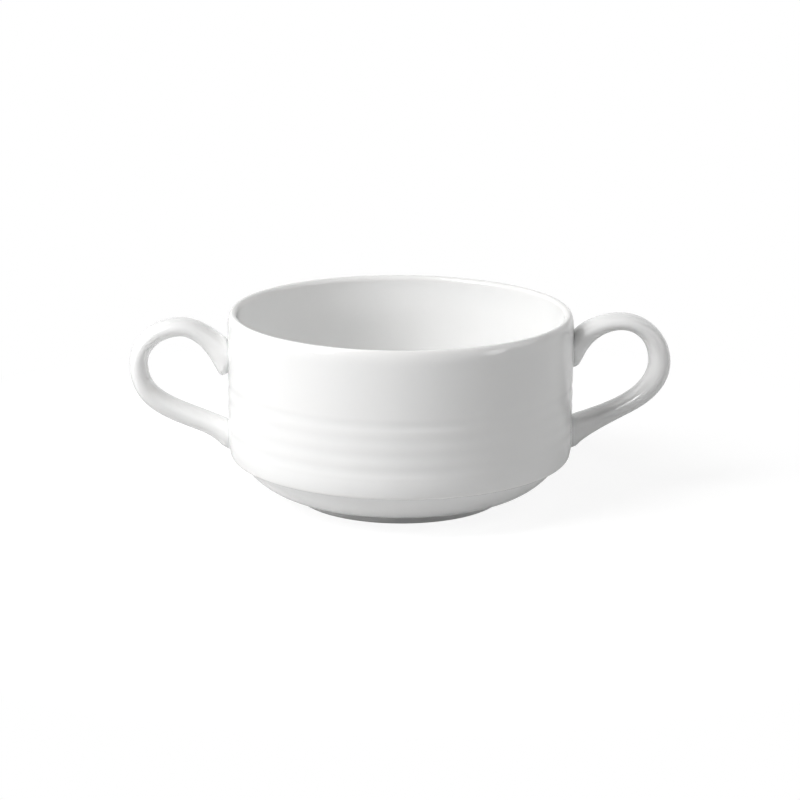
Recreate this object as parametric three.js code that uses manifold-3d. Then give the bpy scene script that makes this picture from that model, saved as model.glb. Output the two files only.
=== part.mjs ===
// Stackable soup cup in glazed porcelain: a turned bowl, two cast strap handles and the slip that holds them.
// Millimetres, +Z up. The origin is on the bowl's axis, at the plane that the foot ring stands on.
// The handles lie along X.
import * as THREE from "three";
import { mergeVertices } from "three/addons/utils/BufferGeometryUtils.js";
import Module from "manifold-3d";

// Bowl: main sizes
const rimHeight = 57.75;
const wallRadius = 52.5;
const wallThickness = 3.3;

// Bowl: rim, a soft lip that is thinner than the wall
const rimThickness = 2.8;
const lipOutside = 4.2; // height over which the outside turns in
const lipInside = 1.4; // height over which the inside turns in
const rimTaper = 12; // depth at which the inside reaches the full wall

// Bowl: foot ring and underside
const footRadius = 31.8;
const footWidth = 3.4;
const footHeight = 2.65;
const footEdge = 0.6; // round on both edges of the ring
const footFillet = 0.5; // hollow round between the ring and the base
const underside = 1.6; // height of the recessed underside
const undersideSlope = 1.2; // run of the slope from the ring to the underside

// Bowl: base, stacking ledge and shoulder
const ledgeHeight = 13.2;
const baseSlope = 3; // degrees above level where the base leaves the foot ring
const rimClearance = 0.3; // play of the base inside the rim of the cup that it stacks on
const ledgeEdge = 1.4; // round on the outer edge of the ledge
const shoulderInset = 0.5;
const shoulderHeight = 4.2;

// Bowl: ring grooves on the lower wall
const grooveCount = 4;
const grooveStart = 3.15; // from the top of the shoulder to the middle of the first groove
const groovePitch = 4.63;
const grooveWidth = 4.4;
const grooveDepth = 0.1;

// Bowl: inside
const floorThickness = 4.2;
const insideCorner = 20; // radius where the floor turns up into the wall

// Handle: centre line of the strap, out from the wall and down from the rim or up from the ledge
const upperRootDrop = 12.15;
const crownOut = 14.4;
const crownDrop = 4.05;
const loopOut = 26.95;
const loopDrop = 16.15;
const lowerRootRise = 7.55;
const upperRootLean = 48; // degrees above level at which the strap leaves the wall
const lowerRootLean = 26; // degrees above level at which the lower arm leaves the wall
const upperRootPull = 4.2; // how far the strap keeps that lean at the upper root
const crownPull = 6.6; // how far it runs level before the crown
const elbowPull = 13.5; // how far it runs upright below the loop's widest point
const lowerRootPull = 10.6; // how far it keeps its lean at the lower root

// Handle: strap section
const strapThickness = 5.8;
const strapWidth = 11.2;
const rootWidth = 13.2;
const upperSwell = 2.2; // how much the upper root thickens, on the side towards the finger gap
const upperFlare = 15.8; // length of the flare at the upper root
const lowerSwell = 2.6; // how much the lower root thickens, on the side away from the finger gap
const lowerFlare = 12;
const sectionPower = 2.5; // 2 is an ellipse, and higher is squarer
const rootBury = 7; // how far the strap's ends run on behind the wall before they are cut

// Luting slip between each root and the wall
const seamGap = 0.3; // open gap on both sides of the slip
const slipThickness = 0.5;
const slipSpread = 0.7; // how far the slip squeezes out round the root
const slipReach = 12; // stretch of each root, along the strap, that the slip is cut from

// Fineness of the faceted solids
const turns = 60;
const strapSteps = 40;
const sectionSides = 18;
const edgeSteps = 2;
const footSteps = 3;
const baseSteps = 9;
const ledgeSteps = 4;
const shoulderSteps = 3;
const grooveSteps = 4;
const lipOutsideSteps = 6;
const lipInsideSteps = 4;
const cornerSteps = 10;
const mergeDistance = 1e-4; // points closer than this are one point

const wasm = await Module();
wasm.setup();

const radians = THREE.MathUtils.degToRad;
const point = (radius, height) => new THREE.Vector2(radius, height);

// Points of an elliptical arc in the profile plane, between two angles in degrees from outwards.
function arc(centre, radiusOut, radiusUp, from, to, steps) {
  const curve = new THREE.EllipseCurve(
    centre.x,
    centre.y,
    radiusOut,
    radiusUp,
    radians(from),
    radians(to),
    to < from,
  );
  return curve.getPoints(steps);
}

// A profile turned about the axis. It runs up the outside, and starts and ends on the axis.
function turned(profile) {
  const apart = profile.filter((p, i) => i === 0 || p.distanceTo(profile[i - 1]) > mergeDistance);
  return new THREE.LatheGeometry(apart, turns).rotateX(Math.PI / 2);
}

function solidOf(geometry) {
  const bare = new THREE.BufferGeometry();
  bare.setAttribute("position", geometry.getAttribute("position"));
  bare.setIndex(geometry.getIndex());
  const merged = mergeVertices(bare, mergeDistance);
  return new wasm.Manifold(
    new wasm.Mesh({
      numProp: 3,
      vertProperties: merged.getAttribute("position").array,
      triVerts: new Uint32Array(merged.getIndex().array),
    }),
  );
}

function geometryOf(solid) {
  const { vertProperties, triVerts } = solid.getMesh();
  const geometry = new THREE.BufferGeometry();
  geometry.setAttribute("position", new THREE.BufferAttribute(vertProperties, 3));
  geometry.setIndex(new THREE.BufferAttribute(triVerts, 1));
  geometry.computeVertexNormals();
  return geometry;
}

// The shoulder is an arc that stands upright where it meets the wall and leans in to the ledge.
const shoulderRadius = (shoulderHeight ** 2 + shoulderInset ** 2) / (2 * shoulderInset);
const shoulderLean = THREE.MathUtils.radToDeg(Math.asin(shoulderHeight / shoulderRadius));
const shoulderFoot = ledgeHeight + ledgeEdge * (1 - Math.sin(radians(shoulderLean)));
const shoulderTop = shoulderFoot + shoulderHeight;
const shoulderCentre = point(wallRadius - shoulderRadius, shoulderTop);

function footProfile() {
  const inner = footRadius - footWidth;
  const hollow = point(footRadius + footFillet, footHeight - footFillet);
  return [
    point(0, underside),
    point(inner - undersideSlope, underside),
    ...arc(point(inner + footEdge, footEdge), footEdge, footEdge, 180, 270, edgeSteps),
    ...arc(point(footRadius - footEdge, footEdge), footEdge, footEdge, 270, 360, footSteps),
    ...arc(hollow, footFillet, footFillet, 180, 90, edgeSteps),
  ];
}

// The base is an arc that leaves the foot ring at a low slope and ends at the ledge.
// It goes inside the rim of the cup below.
function baseProfile() {
  const start = point(footRadius + footFillet, footHeight);
  const end = point(wallRadius - rimThickness - rimClearance, ledgeHeight);
  const chord = end.clone().sub(start);
  const turn = 2 * (THREE.MathUtils.radToDeg(chord.angle()) - baseSlope);
  const radius = chord.length() / (2 * Math.sin(radians(turn / 2)));
  const centre = point(
    start.x - radius * Math.sin(radians(baseSlope)),
    start.y + radius * Math.cos(radians(baseSlope)),
  );
  return arc(centre, radius, radius, 270 + baseSlope, 270 + baseSlope + turn, baseSteps);
}

function shoulderProfile() {
  const lean = radians(shoulderLean);
  const edge = point(wallRadius - shoulderInset - ledgeEdge * Math.cos(lean), ledgeHeight + ledgeEdge);
  return [
    ...arc(edge, ledgeEdge, ledgeEdge, 270, 360 - shoulderLean, ledgeSteps),
    ...arc(shoulderCentre, shoulderRadius, shoulderRadius, -shoulderLean, 0, shoulderSteps),
  ];
}

// Each groove is one wave of a cosine, so that the rings between them have no edge.
function grooveProfile() {
  const points = [];
  for (let groove = 0; groove < grooveCount; groove++) {
    const middle = shoulderTop + grooveStart + groove * groovePitch;
    for (let step = 0; step <= grooveSteps; step++) {
      const along = step / grooveSteps - 0.5;
      const depth = (grooveDepth * (1 + Math.cos(2 * Math.PI * along))) / 2;
      points.push(point(wallRadius - depth, middle + along * grooveWidth));
    }
  }
  return points;
}

function rimProfile() {
  const half = rimThickness / 2;
  const crest = wallRadius - half;
  return [
    ...arc(point(crest, rimHeight - lipOutside), half, lipOutside, 0, 90, lipOutsideSteps),
    ...arc(point(crest, rimHeight - lipInside), half, lipInside, 90, 180, lipInsideSteps),
  ];
}

function insideProfile() {
  const radius = wallRadius - wallThickness;
  const floor = underside + floorThickness;
  const corner = point(radius - insideCorner, floor + insideCorner);
  return [
    point(radius, rimHeight - rimTaper),
    ...arc(corner, insideCorner, insideCorner, 360, 270, cornerSteps),
    point(0, floor),
  ];
}

const bowlGeometry = turned([
  ...footProfile(),
  ...baseProfile(),
  ...shoulderProfile(),
  ...grooveProfile(),
  ...rimProfile(),
  ...insideProfile(),
]);

// Everything within a given distance of the smooth outside of the wall and shoulder, all inside it and below.
function wallBody(distance) {
  const radius = shoulderRadius + distance;
  const shoulder = arc(shoulderCentre, radius, radius, -shoulderLean, 0, shoulderSteps);
  const top = rimHeight + strapThickness;
  return solidOf(
    turned([
      point(0, 0),
      point(shoulder[0].x, 0),
      ...shoulder,
      point(wallRadius + distance, top),
      point(0, top),
    ]),
  );
}

// The strap's centre line in the XZ plane: out of the wall, up to the crown, round the loop and back.
const upperRoot = new THREE.Vector3(wallRadius, 0, rimHeight - upperRootDrop);
const crown = new THREE.Vector3(wallRadius + crownOut, 0, rimHeight - crownDrop);
const loop = new THREE.Vector3(wallRadius + loopOut, 0, rimHeight - loopDrop);
const lowerRoot = new THREE.Vector3(wallRadius, 0, ledgeHeight + lowerRootRise);
const quarterPull = 0.5523; // makes a cubic curve follow a quarter of an ellipse

const leaning = (degrees, length) =>
  new THREE.Vector3(Math.cos(radians(degrees)), 0, Math.sin(radians(degrees))).multiplyScalar(length);
const moved = (from, out, up) => from.clone().add(new THREE.Vector3(out, 0, up));

const centreLine = new THREE.CurvePath();
centreLine.add(
  new THREE.CubicBezierCurve3(
    upperRoot,
    upperRoot.clone().add(leaning(upperRootLean, upperRootPull)),
    moved(crown, -crownPull, 0),
    crown,
  ),
);
centreLine.add(
  new THREE.CubicBezierCurve3(
    crown,
    moved(crown, quarterPull * (loop.x - crown.x), 0),
    moved(loop, 0, quarterPull * (crown.z - loop.z)),
    loop,
  ),
);
centreLine.add(
  new THREE.CubicBezierCurve3(
    loop,
    moved(loop, 0, -elbowPull),
    lowerRoot.clone().add(leaning(lowerRootLean, lowerRootPull)),
    lowerRoot,
  ),
);

// How far a root's flare has grown at a distance from the wall: 1 at the wall and behind it, easing to 0.
const flare = (distance, reach) => (1 - THREE.MathUtils.clamp(distance / reach, 0, 1)) ** 2;

// Sections of the strap along its centre line. Both ends run straight on behind the wall.
function strapSections() {
  const length = centreLine.getLength();
  const whole = length + 2 * rootBury;
  const sections = [];
  for (let step = 0; step <= strapSteps; step++) {
    const along = (step / strapSteps) * whole - rootBury;
    const share = THREE.MathUtils.clamp(along / length, 0, 1);
    const direction = centreLine.getTangentAt(share);
    const upper = flare(along, upperFlare);
    const lower = flare(length - along, lowerFlare);
    sections.push({
      fromUpper: along,
      fromLower: length - along,
      centre: centreLine.getPointAt(share).addScaledVector(direction, along - share * length),
      across: new THREE.Vector3(-direction.z, 0, direction.x),
      outer: strapThickness / 2 + lowerSwell * lower,
      inner: strapThickness / 2 + upperSwell * upper,
      wide: strapWidth + (rootWidth - strapWidth) * (upper + lower),
    });
  }
  return sections;
}

// A closed skin over sections with rounded-box outlines, each grown by a margin all round.
function strapSolid(sections, margin) {
  const positions = [];
  const faces = [];
  const rounded = (value) => Math.sign(value) * Math.abs(value) ** (2 / sectionPower);
  for (const { centre, across, outer, inner, wide } of sections) {
    for (let side = 0; side < sectionSides; side++) {
      const angle = (2 * Math.PI * side) / sectionSides;
      const upright = Math.cos(angle);
      const up = ((upright > 0 ? outer : inner) + margin) * rounded(upright);
      const sideways = (wide / 2 + margin) * rounded(Math.sin(angle));
      const place = centre.clone().addScaledVector(across, up);
      positions.push(place.x, sideways, place.z);
    }
  }
  const last = (sections.length - 1) * sectionSides;
  for (let side = 0; side < sectionSides; side++) {
    const next = (side + 1) % sectionSides;
    for (let ring = 0; ring < last; ring += sectionSides) {
      faces.push(ring + side, ring + sectionSides + side, ring + next);
      faces.push(ring + next, ring + sectionSides + side, ring + sectionSides + next);
    }
    if (side > 0 && next > 0) {
      faces.push(0, side, next);
      faces.push(last, last + next, last + side);
    }
  }
  const geometry = new THREE.BufferGeometry();
  geometry.setAttribute("position", new THREE.Float32BufferAttribute(positions, 3));
  geometry.setIndex(faces);
  return solidOf(geometry);
}

const sections = strapSections();
const slipFrom = seamGap;
const slipTo = slipFrom + slipThickness;
const handleFrom = slipTo + seamGap;

const handleGeometry = geometryOf(strapSolid(sections, 0).subtract(wallBody(handleFrom)));

// Slip fills the space between wall and root, a little wider than the root.
function slipGeometry(rootSections) {
  const layer = wallBody(slipTo).subtract(wallBody(slipFrom));
  return geometryOf(strapSolid(rootSections, slipSpread).intersect(layer));
}

const upperSlip = slipGeometry(sections.filter((section) => section.fromUpper < slipReach));
const lowerSlip = slipGeometry(sections.filter((section) => section.fromLower < slipReach));

const glaze = { color: 0xf4f4f2, roughness: 0.12, metalness: 0 };
const slip = { color: 0xf0efec, roughness: 0.2, metalness: 0 };

function piece(name, geometry, finish) {
  const mesh = new THREE.Mesh(geometry, new THREE.MeshStandardMaterial(finish));
  mesh.name = name;
  return mesh;
}

// One handle with its two seams, turned to its side of the bowl.
function handle(side, turn) {
  const group = new THREE.Group();
  group.add(piece(`handle_${side}`, handleGeometry, glaze));
  group.add(piece(`luting_slip_${side}_upper`, upperSlip, slip));
  group.add(piece(`luting_slip_${side}_lower`, lowerSlip, slip));
  group.rotation.z = turn;
  return group;
}

const cup = new THREE.Group();
cup.add(piece("bowl", bowlGeometry, glaze));
cup.add(handle("right", 0));
cup.add(handle("left", Math.PI));

export default cup;
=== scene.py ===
# Stackable soup cup in white glazed porcelain: a turned bowl, two loop handles and the slip seams
# that hold them. Metres, +Z up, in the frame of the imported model. Sizes are in millimetres times mm.
import math

import bpy
import numpy as np
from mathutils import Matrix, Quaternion, Vector


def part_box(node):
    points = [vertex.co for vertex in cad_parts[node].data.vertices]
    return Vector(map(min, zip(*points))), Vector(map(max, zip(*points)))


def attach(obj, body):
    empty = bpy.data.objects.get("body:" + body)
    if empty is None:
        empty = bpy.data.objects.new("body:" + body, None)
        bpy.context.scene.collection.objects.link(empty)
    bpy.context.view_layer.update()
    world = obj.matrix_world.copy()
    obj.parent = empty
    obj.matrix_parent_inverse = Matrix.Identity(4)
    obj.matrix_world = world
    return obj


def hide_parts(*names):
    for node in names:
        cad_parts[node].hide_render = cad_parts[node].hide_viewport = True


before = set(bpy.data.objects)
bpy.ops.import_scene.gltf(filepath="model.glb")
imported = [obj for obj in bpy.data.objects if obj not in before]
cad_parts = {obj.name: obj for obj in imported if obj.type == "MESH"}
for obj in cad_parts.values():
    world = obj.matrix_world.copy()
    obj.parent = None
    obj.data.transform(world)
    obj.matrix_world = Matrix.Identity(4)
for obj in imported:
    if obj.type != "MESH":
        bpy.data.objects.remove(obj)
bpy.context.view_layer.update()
mm = 0.001
print("frame loaded with", len(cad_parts), "nodes")


# Puts a grid of points (rows, columns, 3) into a mesh, with the depth of the glaze at each point; its pooled
# end also stands for painted shade.
# Columns always close up. Without poles the rows close up too, and otherwise the first and last row
# each end in one pole point.
def gridPiece(name, points, poles, glazeDepth):
    rows, columns = points.shape[:2]
    index = np.arange(rows * columns).reshape(rows, columns)
    here = index if poles is None else index[:-1]
    after = np.roll(index, -1, axis=0) if poles is None else index[1:]
    quads = np.stack([here, np.roll(here, -1, axis=1), np.roll(after, -1, axis=1), after], axis=-1)
    faces = quads.reshape(-1, 4).tolist()
    places = points.reshape(-1, 3)
    depth = np.broadcast_to(glazeDepth, (rows, columns)).ravel()
    if poles is not None:
        first, last = np.full(columns, rows * columns), np.full(columns, rows * columns + 1)
        faces += np.stack([first, np.roll(index[0], -1), index[0]], axis=-1).tolist()
        faces += np.stack([last, index[-1], np.roll(index[-1], -1)], axis=-1).tolist()
        places = np.concatenate([places, np.asarray(poles, float)])
        depth = np.concatenate([depth, depth[[0, -1]]])
    mesh = bpy.data.meshes.new(name)
    mesh.from_pydata(places.tolist(), [], faces)
    mesh.shade_smooth()
    attribute = mesh.attributes.new("glazeDepth", "FLOAT", "POINT")
    attribute.data.foreach_set("value", depth.astype(np.float32))
    piece = bpy.data.objects.new(name, mesh)
    bpy.context.scene.collection.objects.link(piece)
    return piece


# Gives a finished piece its material and hands it to the frame: it moves with the one body, and the node it
# replaces is hidden.
def handOver(piece, node, material):
    piece.data.materials.append(material)
    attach(piece, "root")
    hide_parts(node)


# One output socket of a node tree. Sums and products of values add Math nodes to that tree.
class Wire:
    def __init__(self, tree, socket=None):
        self.tree = tree
        self.socket = socket

    def node(self, kind, settings=None, inputs=None, output=0):
        made = self.tree.nodes.new("ShaderNode" + kind)
        for name, value in (settings or {}).items():
            if name == "stops":
                self.fillRamp(made.color_ramp, value)
            else:
                setattr(made, name, value)
        for name, value in (inputs or {}).items():
            if isinstance(value, Wire):
                self.tree.links.new(value.socket, made.inputs[name])
            else:
                made.inputs[name].default_value = value
        return Wire(self.tree, made.outputs[output] if made.outputs else None)

    def fillRamp(self, ramp, stops):
        while len(ramp.elements) < len(stops):
            ramp.elements.new(1)
        for element, (place, colour) in zip(ramp.elements, stops):
            element.position = place
            element.color = (*colour, 1)

    def maths(self, operation, first, second=0.0, clamp=False):
        return self.node("Math", {"operation": operation, "use_clamp": clamp}, {0: first, 1: second})

    def __add__(self, other):
        return self.maths("ADD", self, other)

    def __sub__(self, other):
        return self.maths("SUBTRACT", self, other)

    def __rsub__(self, other):
        return self.maths("SUBTRACT", other, self)

    def __mul__(self, other):
        return self.maths("MULTIPLY", self, other)

    def __truediv__(self, other):
        return self.maths("DIVIDE", self, other)

    __radd__ = __add__
    __rmul__ = __mul__

    def clamped(self):
        return self.maths("ADD", self, 0.0, True)


# Clears the nodes of a material or a world, and starts wiring there.
def emptyTree(owner):
    owner.use_nodes = True
    owner.node_tree.nodes.clear()
    return Wire(owner.node_tree)


# 1 for rays from the camera, a share for those that the object mirrors or lets through, and 0 for
# those that light it.
def shownRays(wire, mirrorShare=1.0):
    kinds = ("Is Camera Ray", "Is Glossy Ray", "Is Transmission Ray")
    camera, glossy, through = (wire.node("LightPath", output=kind) for kind in kinds)
    return (camera + (glossy + through) * mirrorShare).clamped()


# Glazed porcelain

glaze = {
    "colour": (0.92, 0.92, 0.915),  # white body through clear glaze
    "thinColour": (0.925, 0.918, 0.905),  # over convex edges, a touch warm
    # The pooled colour is partly glaze pooled in hollows and partly painted shade in the ledge crease, the
    # grooves and the joints.
    "pooledGlazeShadeColour": (0.865, 0.88, 0.882),  # in hollows, a touch cool
    "bareColour": (0.80, 0.785, 0.75),  # wiped foot, no glaze
    "depthDrift": 0.25,  # how much the swell changes the glaze's depth
    "refraction": 1.5,
    "roughness": 0.055,
    "roughnessSpread": 0.03,
    "bareRoughness": 0.62,
    "bareHeight": 0.16 * mm,  # glaze is wiped off below this
    "bareWander": 0.10 * mm,  # how unevenly it is wiped
    "bareFade": 0.05 * mm,  # height over which the glaze ends
    "waveSize": 16 * mm,  # slow swell of the glaze
    "waveHeight": 0.012 * mm,
    "waveDetail": 1.5,
    "peelSize": 1.6 * mm,  # fine orange peel
    "peelHeight": 0.0012 * mm,
    "peelDetail": 2.0,
}


# Base colour follows how deep the glaze lies (the attribute read here: 0 thin, 0.5 even, 1 pooled), with a
# slow drift by the swell;
# the pooled end is darker, partly glaze that pools and partly painted shade in creases, grooves and joints.
# Roughness drifts with the peel. The bump is the swell plus the peel.
def glazedPorcelain(name, hasFoot=False):
    material = bpy.data.materials.new(name)
    wire = emptyTree(material)
    place = wire.node("TexCoord", output="Object")
    swell, peel = (
        wire.node(
            "TexNoise",
            {},
            {"Vector": place, "Scale": 1 / glaze[kind + "Size"], "Detail": glaze[kind + "Detail"]},
        )
        for kind in ("wave", "peel")
    )
    depth = wire.node("Attribute", {"attribute_name": "glazeDepth"}, output="Fac")
    depth = (depth + (swell - 0.5) * glaze["depthDrift"]).clamped()
    stops = [(0.0, glaze["thinColour"]), (0.5, glaze["colour"]), (1.0, glaze["pooledGlazeShadeColour"])]
    colour = wire.node("ValToRGB", {"stops": stops}, {"Fac": depth})
    roughness = glaze["roughness"] + (peel - 0.5) * glaze["roughnessSpread"]
    height = swell * glaze["waveHeight"] + peel * glaze["peelHeight"]
    if hasFoot:
        up = wire.node("SeparateXYZ", {}, {"Vector": place}, "Z")
        wiped = glaze["bareHeight"] + (swell - 0.5) * glaze["bareWander"]
        bare = ((wiped - up) / glaze["bareFade"] + 0.5).clamped()
        mixed = {0: bare, 6: colour, 7: (*glaze["bareColour"], 1)}  # factor, first and second colour
        colour = wire.node("Mix", {"data_type": "RGBA"}, mixed, 2)
        roughness = roughness + bare * (glaze["bareRoughness"] - glaze["roughness"])
    normal = wire.node("Bump", {}, {"Strength": 1.0, "Distance": 1.0, "Height": height})
    shader = wire.node(
        "BsdfPrincipled",
        {},
        {"Base Color": colour, "Roughness": roughness, "Normal": normal, "IOR": glaze["refraction"]},
    )
    wire.node("OutputMaterial", {}, {"Surface": shader})
    return material


bowlGlaze = glazedPorcelain("bowlGlaze", hasFoot=True)
handleGlaze = glazedPorcelain("handleGlaze")
seamGlaze = glazedPorcelain("seamGlaze")
print("glaze materials made")


# Bowl

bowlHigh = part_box("bowl")[1]
bowl = {
    "rimHeight": bowlHigh.z,
    "wallRadius": bowlHigh.x,
    "wallThickness": 3.3 * mm,
    "rimThickness": 2.8 * mm,
    "lipOutside": 4.2 * mm,  # height over which the outside turns in
    "lipInside": 1.4 * mm,
    "rimTaper": 12 * mm,  # depth at which the inside reaches the full wall
    "footRadius": 31.8 * mm,
    "footWidth": 3.4 * mm,
    "footHeight": 2.65 * mm,
    "footEdge": 0.6 * mm,
    "footFillet": 0.5 * mm,
    "underside": 1.6 * mm,
    "undersideSlope": 1.2 * mm,
    "ledgeHeight": 13.2 * mm,
    "baseSlope": 3,  # degrees
    "rimClearance": 0.3 * mm,  # play of the base inside the rim of the cup that it stacks on
    "ledgeEdge": 1.4 * mm,
    "shoulderInset": 0.5 * mm,
    "shoulderHeight": 4.2 * mm,
    "grooveStart": 3.15 * mm,
    "groovePitch": 4.63 * mm,
    "grooveWidth": 4.4 * mm,
    "grooveDepths": np.array([0.10, 0.075, 0.08, 0.13]) * mm,  # from the lowest groove up
    "floorThickness": 4.2 * mm,
    "insideCorner": 20 * mm,
    "poleRadius": 2 * mm,  # the middle of floor and underside closes from this ring
    "grooveStep": 0.25 * mm,  # height between rings on the grooved wall
    "closest": 0.001 * mm,  # profile points closer than this are one point
    "turns": 272,
}

# Number of points along each stretch of the bowl's profile.
rings = {
    "underside": 10,
    "undersideSlope": 8,
    "footInside": 8,
    "footOutside": 10,
    "footFillet": 8,
    "base": 40,
    "ledgeEdge": 16,
    "shoulder": 24,
    "upperWall": 16,
    "lipOutside": 22,
    "lipInside": 14,
    "rimTaper": 20,
    "insideWall": 14,
    "insideCorner": 34,
    "floor": 12,
}

# The shoulder is an arc that stands upright where it meets the wall and leans in to the ledge.
shoulderRadius = (bowl["shoulderHeight"] ** 2 + bowl["shoulderInset"] ** 2) / (2 * bowl["shoulderInset"])
shoulderLean = math.asin(bowl["shoulderHeight"] / shoulderRadius)
shoulderFoot = bowl["ledgeHeight"] + bowl["ledgeEdge"] * (1 - math.sin(shoulderLean))
shoulderTop = shoulderFoot + bowl["shoulderHeight"]
shoulderCentre = np.array([bowl["wallRadius"] - shoulderRadius, shoulderTop])


# Arc of an ellipse: the centre plus each radius times the cosine or sine of evenly spaced angles.
def arcPoints(centre, radii, fromDegrees, toDegrees, count):
    angle = np.radians(np.linspace(fromDegrees, toDegrees, count))
    return np.asarray(centre) + np.stack([radii[0] * np.cos(angle), radii[1] * np.sin(angle)], axis=-1)


# Straight line with points closer near its ends: the share along it is half of one minus a cosine.
def linePoints(start, end, count):
    share = (1 - np.cos(np.linspace(0, np.pi, count))) / 2
    return np.asarray(start) + share[:, None] * (np.asarray(end) - np.asarray(start))


# Underside, slope to the foot ring, the ring's two rounded edges and the hollow round up to the base:
# straight lines and quarter circles end to end.
def footProfile():
    inner = bowl["footRadius"] - bowl["footWidth"]
    edge, fillet = bowl["footEdge"], bowl["footFillet"]
    slopeTop = (inner - bowl["undersideSlope"], bowl["underside"])
    hollow = (bowl["footRadius"] + fillet, bowl["footHeight"] - fillet)
    return [
        linePoints((bowl["poleRadius"], bowl["underside"]), slopeTop, rings["underside"]),
        linePoints(slopeTop, (inner, edge), rings["undersideSlope"]),
        arcPoints((inner + edge, edge), (edge, edge), 180, 270, rings["footInside"]),
        arcPoints((bowl["footRadius"] - edge, edge), (edge, edge), 270, 360, rings["footOutside"]),
        arcPoints(hollow, (fillet, fillet), 180, 90, rings["footFillet"]),
    ]


# The base is an arc from the foot ring, at a low slope, to the inner edge of the stacking ledge.
def baseProfile():
    ledgeInside = bowl["wallRadius"] - bowl["rimThickness"] - bowl["rimClearance"]
    start = np.array([bowl["footRadius"] + bowl["footFillet"], bowl["footHeight"]])
    end = np.array([ledgeInside, bowl["ledgeHeight"]])
    chord = end - start
    turn = 2 * (math.degrees(math.atan2(chord[1], chord[0])) - bowl["baseSlope"])
    radius = np.hypot(*chord) / (2 * math.sin(math.radians(turn / 2)))
    slope = math.radians(bowl["baseSlope"])
    centre = start + radius * np.array([-math.sin(slope), math.cos(slope)])
    first = 270 + bowl["baseSlope"]
    return [arcPoints(centre, (radius, radius), first, first + turn, rings["base"])]


# The round on the ledge's outer edge runs into the shoulder: two arcs that share a direction where they meet.
def shoulderProfile():
    lean = math.degrees(shoulderLean)
    edge = bowl["ledgeEdge"]
    ledgeOutside = bowl["wallRadius"] - bowl["shoulderInset"] - edge * math.cos(shoulderLean)
    corner = (ledgeOutside, bowl["ledgeHeight"] + edge)
    return [
        arcPoints(corner, (edge, edge), 270, 360 - lean, rings["ledgeEdge"]),
        arcPoints(shoulderCentre, (shoulderRadius, shoulderRadius), -lean, 0, rings["shoulder"]),
    ]


# The wall is upright. Each groove is one wave of a cosine, its depth half of one plus the cosine.
def wallProfile():
    top = bowl["rimHeight"] - bowl["lipOutside"]
    grooves = len(bowl["grooveDepths"])
    firstMiddle = shoulderTop + bowl["grooveStart"]
    plainFrom = firstMiddle + grooves * bowl["groovePitch"]
    grooved = np.arange(shoulderTop, plainFrom, bowl["grooveStep"])
    height = np.concatenate([grooved, np.linspace(plainFrom, top, rings["upperWall"])])
    middle = firstMiddle + np.arange(grooves) * bowl["groovePitch"]
    along = np.clip((height[:, None] - middle) / bowl["grooveWidth"], -0.5, 0.5)
    depth = (bowl["grooveDepths"] * (1 + np.cos(2 * np.pi * along)) / 2).sum(axis=1)
    return [np.stack([bowl["wallRadius"] - depth, height], axis=-1)]


# The lip is two quarter ellipses that meet at the crest, a tall one outside and a short one inside.
def rimProfile():
    half = bowl["rimThickness"] / 2
    crest = bowl["wallRadius"] - half
    rim, outside, inside = bowl["rimHeight"], bowl["lipOutside"], bowl["lipInside"]
    return [
        arcPoints((crest, rim - outside), (half, outside), 0, 90, rings["lipOutside"]),
        arcPoints((crest, rim - inside), (half, inside), 90, 180, rings["lipInside"]),
    ]


# Inside the rim the wall thickens by an ease of 3 share squared minus 2 share cubed. Then it turns
# into the floor.
def insideProfile():
    radius = bowl["wallRadius"] - bowl["wallThickness"]
    corner = bowl["insideCorner"]
    bottom = bowl["underside"] + bowl["floorThickness"]
    share = np.linspace(0, 1, rings["rimTaper"])
    thicker = (bowl["wallThickness"] - bowl["rimThickness"]) * (3 * share**2 - 2 * share**3)
    out = bowl["wallRadius"] - bowl["rimThickness"] - thicker
    depth = bowl["lipInside"] + share * (bowl["rimTaper"] - bowl["lipInside"])
    taperEnd = (radius, bowl["rimHeight"] - bowl["rimTaper"])
    return [
        np.stack([out, bowl["rimHeight"] - depth], axis=-1),
        linePoints(taperEnd, (radius, bottom + corner), rings["insideWall"]),
        arcPoints((radius - corner, bottom + corner), (corner, corner), 360, 270, rings["insideCorner"]),
        linePoints((radius - corner, bottom), (bowl["poleRadius"], bottom), rings["floor"]),
    ]


# How far the glaze pools or thins along the bowl's profile; the pooled side is also painted shade.
poolAndShade = {
    "step": 0.1 * mm,  # between samples along the profile
    "reach": 30,  # samples to each side that are smoothed together
    "blur": 0.8 * mm,  # width of the bell curve that smooths them
    "strength": 1.2 * mm,  # radius of a bend at which the glaze has mostly run off or pooled
}


# Where a profile bends inwards the glaze pools and the colour is darkened there as painted shade, and where
# it bends outwards it thins: the turn per length, smoothed along the profile by a bell curve, is taken from
# -1 to 1 and moved to 0 to 1.
def poolingAndPaintedShade(profile):
    step = np.diff(profile, axis=0)
    length = np.concatenate([[0], np.cumsum(np.hypot(*step.T))])
    heading = np.unwrap(np.arctan2(step[:, 1], step[:, 0]))
    even = np.arange(0, length[-1], poolAndShade["step"])
    evenHeading = np.interp(even, (length[1:] + length[:-1]) / 2, heading)
    turn = np.gradient(evenHeading, even)
    offset = np.arange(-poolAndShade["reach"], poolAndShade["reach"] + 1) * poolAndShade["step"]
    weight = np.exp(-((offset / poolAndShade["blur"]) ** 2) / 2)
    smooth = np.convolve(turn, weight / weight.sum(), mode="same")
    return 0.5 - 0.5 * np.tanh(np.interp(length, even, smooth) * poolAndShade["strength"])


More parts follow.
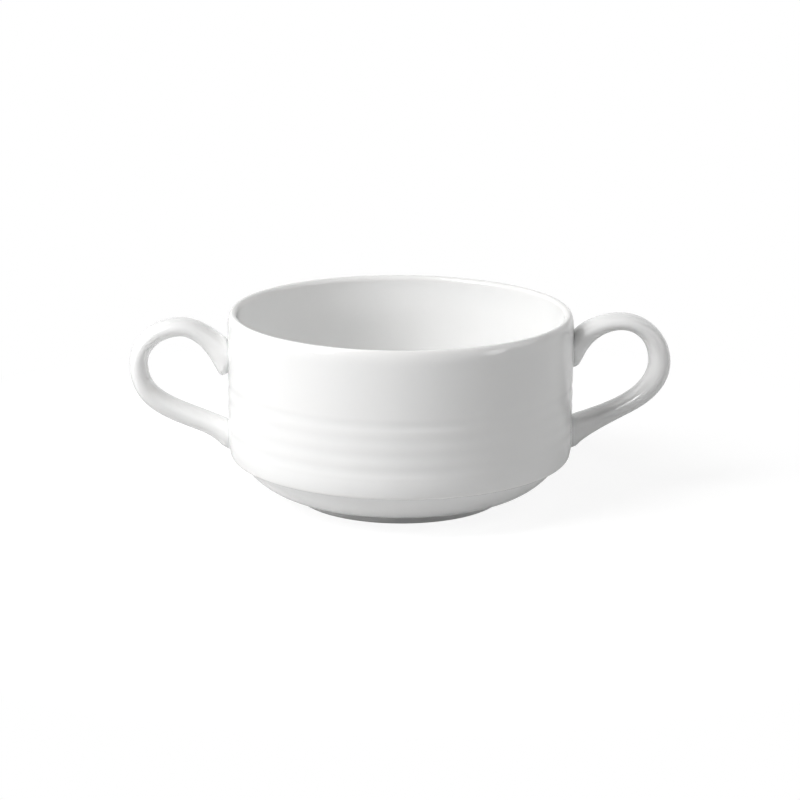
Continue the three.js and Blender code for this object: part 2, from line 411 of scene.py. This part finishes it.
# The bowl is its profile turned about the axis: radius times the cosine and sine of the angle, and height.
def makeBowl():
    outside = footProfile() + baseProfile() + shoulderProfile() + wallProfile()
    profile = np.concatenate(outside + rimProfile() + insideProfile())
    apart = np.hypot(*np.diff(profile, axis=0).T) > bowl["closest"]
    profile = profile[np.concatenate([[True], apart])]
    angle = np.linspace(0, 2 * np.pi, bowl["turns"], endpoint=False)
    radius, height = profile[:, :1], profile[:, 1:]
    heights = np.broadcast_to(height, (len(profile), len(angle)))
    points = np.stack([radius * np.cos(angle), radius * np.sin(angle), heights], axis=-1)
    poles = [(0, 0, profile[0, 1]), (0, 0, profile[-1, 1])]
    piece = gridPiece("soup_bowl", points, poles, poolingAndPaintedShade(profile)[:, None])
    handOver(piece, "bowl", bowlGlaze)
    print("bowl made with", len(profile), "rings")


makeBowl()


# Distance of points from the smooth outside of wall and shoulder: their reach from the shoulder's
# centre, taken level with it higher up, less the shoulder's radius. With it goes the direction
# straight out.
def wallDistance(points):
    radius = np.hypot(points[..., 0], points[..., 1])
    below = np.minimum(points[..., 2] - shoulderTop, 0)
    out = radius - shoulderCentre[0]
    reach = np.hypot(out, below)
    side = points[..., :2] / radius[..., None] * (out / reach)[..., None]
    return reach - shoulderRadius, np.concatenate([side, (below / reach)[..., None]], axis=-1)


# Handles

handle = {
    "strapWidth": 11.2 * mm,
    "rootWidth": 13.2 * mm,
    "sectionPower": 2.3,  # 2 is an ellipse, and higher is squarer
    "crownRun": 9 * mm,  # how far the strap's own swells reach along the crown and the loop
    "loopRun": 12 * mm,
    "sideRound": 0.5 * mm,  # round where a root's skin turns in to the wall
    "heelSteepness": 2.3,  # how much longer the skin under the upper root runs than it nears the wall
    "heelTurn": 0.97,  # sine of the angle by which the round turns at most
    "bury": 10 * mm,  # how far the centre line runs on behind the wall
    "sink": 0.3 * mm,  # how far the ends go into the wall
    "searchReach": 14 * mm,  # stretch of the strap, out from the wall, in which its crossing is looked for
    "searchSteps": 900,
    "curvePoints": 241,  # on each of the centre line's three curves
    "flarePower": 2,
    "rings": 240,
    "sides": 84,
    "crowding": 0.9,  # 0 spaces the rings evenly, and near 1 they crowd at the roots
    "glazeDepth": 0.46,
    # Near the wall the glaze counts as deeper, so the roots come out darker: partly pooled glaze, partly
    # painted shade in the joint.
    "rootDepthAndShade": 0.3,  # extra depth of the glaze at the roots
    "rootDepthAndShadeRun": 1.2 * mm,
}

# The handles are set by hand and differ a little. Centre line: out from the wall, down from the rim or
# up from the ledge, leans in degrees, and how far each lean is kept. Section: thickness and swells.
# A root's swell is given with its reach along the strap, its power and how far it goes on behind the wall.
loops = {
    "right": {
        "upperRootDrop": 11.34 * mm,
        "crownOut": 14.7 * mm,
        "crownDrop": 3.83 * mm,
        "loopOut": 26.88 * mm,
        "loopDrop": 16.51 * mm,
        "lowerRootRise": 7.97 * mm,
        "upperRootLean": 54.7,
        "lowerRootLean": 22.8,
        "upperRootPull": 4.24 * mm,
        "crownPull": 7.67 * mm,
        "elbowPull": 12.8 * mm,
        "lowerRootPull": 7.5 * mm,
        "thickness": 5.05 * mm,
        "crownSwell": -0.4 * mm,
        "loopSwell": 1.5 * mm,
        "upperSwell": (1.85 * mm, 15.5 * mm, 1.2, 6 * mm),  # on the inner side only
        "lowerSwell": (3.37 * mm, 18.1 * mm, 1.95, 0.9 * mm),  # on the outer side only
        "heelStart": 2.4 * mm,  # distance from the wall at which the round under the upper root begins
        "heelRound": 3.6 * mm,
    },
    "left": {
        "upperRootDrop": 12.89 * mm,
        "crownOut": 14.26 * mm,
        "crownDrop": 4.5 * mm,
        "loopOut": 26.99 * mm,
        "loopDrop": 15.73 * mm,
        "lowerRootRise": 7.12 * mm,
        "upperRootLean": 42.9,
        "lowerRootLean": 29.4,
        "upperRootPull": 4.08 * mm,
        "crownPull": 5.67 * mm,
        "elbowPull": 14.21 * mm,
        "lowerRootPull": 13.79 * mm,
        "thickness": 5.95 * mm,
        "crownSwell": -0.65 * mm,
        "loopSwell": -0.4 * mm,
        "upperSwell": (2.62 * mm, 16.2 * mm, 2.31, 3 * mm),
        "lowerSwell": (1.4 * mm, 9 * mm, 2.2, 0),
        "heelStart": 3.4 * mm,
        "heelRound": 3.6 * mm,
    },
}

quarterPull = 0.5523  # makes a cubic curve follow a quarter of an ellipse
strapAngle = np.linspace(0, 2 * np.pi, handle["sides"], endpoint=False)


# Cubic curve: its four points weighted by the products of t and 1 - t.
def cubicPoints(a, b, c, d):
    t = np.linspace(0, 1, handle["curvePoints"])[:, None]
    return (1 - t) ** 3 * a + 3 * (1 - t) ** 2 * t * b + 3 * (1 - t) * t**2 * c + t**3 * d


# A length times the cosine and sine of its lean.
def leaning(degrees, length):
    return length * np.array([math.cos(math.radians(degrees)), math.sin(math.radians(degrees))])


# Centre line in the plane of the handles, as out and up: three cubic curves end to end, which run on
# straight behind the wall at both ends. Kept with it are the length along it, its direction and the
# places of the crown, the loop and the end.
def centreLine(shape):
    wall, rim, ledge = bowl["wallRadius"], bowl["rimHeight"], bowl["ledgeHeight"]
    upperRoot = np.array([wall, rim - shape["upperRootDrop"]])
    crown = np.array([wall + shape["crownOut"], rim - shape["crownDrop"]])
    loop = np.array([wall + shape["loopOut"], rim - shape["loopDrop"]])
    lowerRoot = np.array([wall, ledge + shape["lowerRootRise"]])
    upperWay = leaning(shape["upperRootLean"], shape["upperRootPull"])
    lowerWay = leaning(shape["lowerRootLean"], shape["lowerRootPull"])
    level, upright = np.array([1, 0]), np.array([0, 1])
    quarter = quarterPull * (loop - crown)
    first = cubicPoints(upperRoot, upperRoot + upperWay, crown - shape["crownPull"] * level, crown)
    second = cubicPoints(crown, crown + quarter * level, loop - quarter * upright, loop)[1:]
    third = cubicPoints(loop, loop - shape["elbowPull"] * upright, lowerRoot + lowerWay, lowerRoot)[1:]
    line = np.concatenate([first, second, third])
    along = np.concatenate([[0], np.cumsum(np.hypot(*np.diff(line, axis=0).T))])
    crownAlong, loopAlong, length = along[[len(first) - 1, len(first) + len(second) - 1, -1]]
    way = np.gradient(line, along, axis=0)
    way /= np.hypot(*way.T)[:, None]
    bury = handle["bury"]
    along = np.concatenate([[-bury], along, [length + bury]])
    line = np.concatenate([[line[0] - bury * way[0]], line, [line[-1] + bury * way[-1]]])
    way = way[np.clip(np.arange(-1, len(way) + 1), 0, len(way) - 1)]
    places = {"crown": crownAlong, "loop": loopAlong, "length": length}
    return {"along": along, "line": line, "way": way} | places


# How far a root has swollen at a distance from the wall: its swell times (1 - distance / reach) raised to a
# power, with the distance kept between the reach and how far the swell goes on behind the wall.
def swelling(distance, swell, reach, power, behind=0.0):
    return swell * (1 - np.clip(distance, -behind, reach) / reach) ** power


# Bell curve: e raised to minus the square of offset over run.
def bell(offset, run):
    return np.exp(-((offset / run) ** 2))


# Skin of the strap at a length along it and an angle round it: a rounded box, with cosine and sine
# raised to 2 / power, set across the centre line. Its outer and inner half heights swell by themselves,
# and bell curves change the thickness at the crown and the loop. The inset draws the skin in.
def plainSkin(strap, along, angle, inset=0.0):
    shape, fromLower = strap["shape"], strap["length"] - along
    crownPart = shape["crownSwell"] * bell(along - strap["crown"], handle["crownRun"])
    loopPart = shape["loopSwell"] * bell(along - strap["loop"], handle["loopRun"])
    half = (shape["thickness"] + crownPart + loopPart) / 2
    outer = half + swelling(fromLower, *shape["lowerSwell"])
    inner = half + swelling(along, *shape["upperSwell"])
    widening = handle["rootWidth"] - handle["strapWidth"]
    flares = [(along, shape["upperSwell"][1]), (fromLower, shape["lowerSwell"][1])]
    power = handle["flarePower"]
    wider = (swelling(distance, widening, reach, power) for distance, reach in flares)
    wide = handle["strapWidth"] + sum(wider)
    rounded = np.stack([np.cos(angle), np.sin(angle)])
    rounded = np.sign(rounded) * np.abs(rounded) ** (2 / handle["sectionPower"])
    up = (np.where(rounded[0] > 0, outer, inner) - inset) * rounded[0]
    sideways = (wide / 2 - inset) * rounded[1]
    columns = (*strap["line"].T, *strap["way"].T)
    out, rise, wayOut, wayUp = (np.interp(along, strap["along"], values) for values in columns)
    return np.stack([out - wayUp * up, sideways, rise + wayOut * up], axis=-1)


# The plain skin drawn in near the wall by part of a round: its radius less the height of the circle.
def strapSkin(strap, along, angle):
    distance = wallDistance(plainSkin(strap, along, angle))[0]
    under = np.clip(-np.cos(angle), 0, 1) * (along < strap["length"] / 2)
    side = handle["sideRound"]
    heel = (strap["shape"][name] for name in ("heelStart", "heelRound"))
    start, radius = (side + (length - side) * under for length in heel)
    steepness = 1 + (handle["heelSteepness"] - 1) * under
    share = np.clip((start - distance) * steepness / radius, 0, handle["heelTurn"])
    return plainSkin(strap, along, angle, radius * (1 - np.sqrt(1 - share**2)))


# Length along the strap, for each angle, at which the skin crosses a distance from the wall near one root.
def rootCrossing(strap, distance, root):
    reach = np.linspace(-handle["bury"], handle["searchReach"], handle["searchSteps"])
    along = reach if root == "upper" else strap["length"] - reach
    away = wallDistance(strapSkin(strap, along[:, None], strapAngle))[0] - distance
    after = len(reach) - np.argmax(away[::-1] <= 0, axis=0)
    column = np.arange(handle["sides"])
    low, high = away[after - 1, column], away[after, column]
    return along[after - 1] - low / (high - low) * (along[after] - along[after - 1])


# The left side is the right one after half a turn, so x and y change sign.
def turnedTo(side, points):
    return points if side == "right" else points * np.array([-1, -1, 1])


# A handle is the strap's skin from root to root, on rings that crowd at both ends: the share along it
# less a part of its sine. The glaze lies deeper near the wall by an exponential of the distance, which
# darkens it there as partly pooled glaze, partly painted shade in the joint.
def makeHandle(side, strap):
    start, end = (rootCrossing(strap, -handle["sink"], root) for root in ("upper", "lower"))
    share = np.linspace(0, 1, handle["rings"])
    share = share - handle["crowding"] * np.sin(2 * np.pi * share) / (2 * np.pi)
    along = start + share[:, None] * (end - start)
    points = strapSkin(strap, along, strapAngle)
    nearness = np.exp(-np.maximum(wallDistance(points)[0], 0) / handle["rootDepthAndShadeRun"])
    depth = handle["glazeDepth"] + handle["rootDepthAndShade"] * nearness
    points = turnedTo(side, points)[::-1]
    poles = [points[0].mean(axis=0), points[-1].mean(axis=0)]
    piece = gridPiece("loop_handle_" + side, points, poles, depth[::-1])
    handOver(piece, "handle_" + side, handleGlaze)
    print("handle made on the", side)


# Slip seams

seam = {
    "spread": 0.6 * mm,  # how far the slip runs out on the wall
    "rise": 0.6 * mm,  # how far it climbs the root
    "tuck": 0.3 * mm,  # how far its edges run on under the skins of root and wall
    "tuckDepth": 0.06 * mm,
    "backDepth": 0.5 * mm,  # how far its back lies behind the corner
    "hollowSteps": 9,
    # The seam counts as deep glaze, so it comes out darker: partly pooled glaze, partly painted shade where
    # handle and wall meet.
    "glazeDepth": 0.7,
}


# Vectors over their own length.
def unit(vectors):
    return vectors / np.linalg.norm(vectors, axis=-1, keepdims=True)


# A seam is a small hollow fillet round the line where a root meets the wall. Its section is a parabola
# from the root's skin to the wall: the two ends and their corner weighted by the products of t and 1 - t.
# Both edges run on under the skins, and the back is closed inside the root and the wall.
def makeSeam(side, strap, root):
    corner = strapSkin(strap, rootCrossing(strap, 0.0, root), strapAngle)
    onRoot = strapSkin(strap, rootCrossing(strap, seam["rise"], root), strapAngle)
    outward = wallDistance(corner)[1]
    tangent = np.roll(corner, -1, axis=0) - np.roll(corner, 1, axis=0)
    sideways = unit(np.cross(tangent, outward))
    sideways *= np.sign((sideways * (corner - corner.mean(axis=0))).sum(axis=1))[:, None]
    onWall = corner + seam["spread"] * sideways
    gap, normal = wallDistance(onWall)
    onWall = onWall - gap[:, None] * normal
    t = np.linspace(0, 1, seam["hollowSteps"])[:, None, None]
    hollow = (1 - t) ** 2 * onRoot + 2 * (1 - t) * t * corner + t**2 * onWall
    underRoot = onRoot + seam["tuck"] * unit(onRoot - corner) - seam["tuckDepth"] * sideways
    underWall = onWall + seam["tuck"] * unit(onWall - corner) - seam["tuckDepth"] * normal
    back = corner - seam["backDepth"] * (outward + sideways)
    points = turnedTo(side, np.concatenate([[underRoot], hollow, [underWall, back]]))
    if root == "lower":
        points = points[::-1]
    piece = gridPiece("slip_seam_" + side + "_" + root, points, None, seam["glazeDepth"])
    handOver(piece, "luting_slip_" + side + "_" + root, seamGlaze)
    print("seam made at the", side, root, "root")


for side, shape in loops.items():
    strap = centreLine(shape) | {"shape": shape}
    makeHandle(side, strap)
    for root in ("upper", "lower"):
        makeSeam(side, strap, root)


# Floor, light and camera

floor = {
    "half": 3.0,  # metres
    "colour": (0.71, 0.71, 0.71),
    "glow": 0.88,  # what the floor shows by itself near the cup, so that its lit parts come out white
    "shadowShare": 0.22,  # how much of its shading the floor shows near the cup
    "fadeFrom": 0.09,  # distance from the cup's axis at which the shading starts to fade to white
    "fadeTo": 0.2,
    "nearMirror": 0.3,  # share of that white in the floor that the cup mirrors, near it
    "openFrom": 0.15,  # distance at which the mirrored floor starts to turn all white
    "openTo": 0.5,
}


# A flat square that lights the cup as a plain pale floor. The camera sees it white, with part of its shading
# near the cup, and the cup mirrors a share of that.
def makeFloor():
    half = floor["half"]
    mesh = bpy.data.meshes.new("floor")
    corners = [(-half, -half, 0), (half, -half, 0), (half, half, 0), (-half, half, 0)]
    mesh.from_pydata(corners, [], [(0, 1, 2, 3)])
    ground = bpy.data.objects.new("floor", mesh)
    bpy.context.scene.collection.objects.link(ground)
    material = bpy.data.materials.new("paleFloor")
    wire = emptyTree(material)
    place = wire.node("TexCoord", output="Object")
    distance = wire.node("VectorMath", {"operation": "LENGTH"}, {0: place}, "Value")
    fade = ((distance - floor["fadeFrom"]) / (floor["fadeTo"] - floor["fadeFrom"])).clamped()
    plain = wire.node("BsdfDiffuse", {}, {"Color": (*floor["colour"], 1)})
    shade = wire.node("BsdfDiffuse", {}, {"Color": (*[floor["shadowShare"]] * 3, 1)})
    glow = wire.node("Emission", {}, {"Color": (1, 1, 1, 1), "Strength": floor["glow"]})
    shaded = wire.node("AddShader", {}, {0: shade, 1: glow})
    white = wire.node("Emission", {}, {"Color": (1, 1, 1, 1), "Strength": 1.0})
    shown = wire.node("MixShader", {}, {0: fade, 1: shaded, 2: white})
    opening = ((distance - floor["openFrom"]) / (floor["openTo"] - floor["openFrom"])).clamped()
    mirrorShare = floor["nearMirror"] + opening * (1 - floor["nearMirror"])
    surface = wire.node("MixShader", {}, {0: shownRays(wire, mirrorShare), 1: plain, 2: shown})
    wire.node("OutputMaterial", {}, {"Surface": surface})
    mesh.materials.append(material)


makeFloor()
print("floor made")

light = {
    "skyStrength": 0.01,
    "distance": 1.2,  # metres from the cup
    "aim": (0, 0, 30 * mm),
    "lamps": {  # azimuth from straight in front, elevation, size in metres, power in watts
        "keyBox": (-61, 42, 0.5, 4.3),
        "keyLow": (-58, 18, 0.45, 2.5),
        "keyHigh": (-60, 55, 0.5, 4.1),
        "leftBox": (-75, 33, 0.5, 3.9),
        "frontBox": (-45, 35, 0.5, 0.2),
        "frontRight": (50, 35, 0.7, 0.75),
        "rightBox": (84, 24, 0.7, 1.75),
        "rightLow": (60, 10, 0.35, 1.1),
        "rimBox": (130, 30, 0.8, 0.5),
        "backLeft": (-140, 32, 0.9, 1.7),
    },
}


# A white room for the camera and for mirrored rays, which hardly lights the cup by itself.
def makeSky():
    world = bpy.data.worlds.new("whiteRoom")
    bpy.context.scene.world = world
    wire = emptyTree(world)
    strength = light["skyStrength"] + shownRays(wire) * (1 - light["skyStrength"])
    sky = wire.node("Background", {}, {"Color": (1, 1, 1, 1), "Strength": strength})
    wire.node("OutputWorld", {}, {"Surface": sky})


# Direction from the object at an azimuth from straight in front and an elevation, in degrees.
def directionTo(azimuth, elevation):
    a, e = math.radians(azimuth), math.radians(elevation)
    return Vector((math.sin(a) * math.cos(e), -math.cos(a) * math.cos(e), math.sin(e)))


# A round soft lamp that faces the cup.
def makeLamp(name, azimuth, elevation, distance, size, power):
    data = bpy.data.lights.new(name, "AREA")
    data.shape = "DISK"
    data.size = size
    data.energy = power
    lamp = bpy.data.objects.new(name, data)
    back = directionTo(azimuth, elevation)
    lamp.location = Vector(light["aim"]) + back * distance
    lamp.rotation_mode = "QUATERNION"
    lamp.rotation_quaternion = (-back).to_track_quat("-Z", "Y")
    bpy.context.scene.collection.objects.link(lamp)


makeSky()
for name, (azimuth, elevation, size, power) in light["lamps"].items():
    makeLamp(name, azimuth, elevation, light["distance"], size, power)
print("lamps made")

camera = {
    "target": (-0.12 * mm, 0, 29.69 * mm),
    "distance": 800 * mm,
    "azimuth": -3.2,  # degrees
    "elevation": 14.87,
    "roll": 0.3,
    "focalPixels": 2615,
    "imagePixels": 800,
    "sensor": 36,  # millimetres
    "clip": (0.05, 20),  # metres
}


# The camera stands back from its target, faces it and is rolled a little. Its lens is the focal length in
# pixels times the sensor over the image width.
def makeCamera():
    data = bpy.data.cameras.new("photoCamera")
    data.sensor_width = camera["sensor"]
    data.lens = camera["focalPixels"] * data.sensor_width / camera["imagePixels"]
    data.clip_start, data.clip_end = camera["clip"]
    eye = bpy.data.objects.new("photoCamera", data)
    back = directionTo(camera["azimuth"], camera["elevation"])
    eye.location = Vector(camera["target"]) + back * camera["distance"]
    eye.rotation_mode = "QUATERNION"
    level = (-back).to_track_quat("-Z", "Y")
    eye.rotation_quaternion = level @ Quaternion((0, 0, 1), math.radians(camera["roll"]))
    bpy.context.scene.collection.objects.link(eye)
    bpy.context.scene.camera = eye


makeCamera()
bpy.context.scene.view_settings.view_transform = "Standard"
print("camera made")
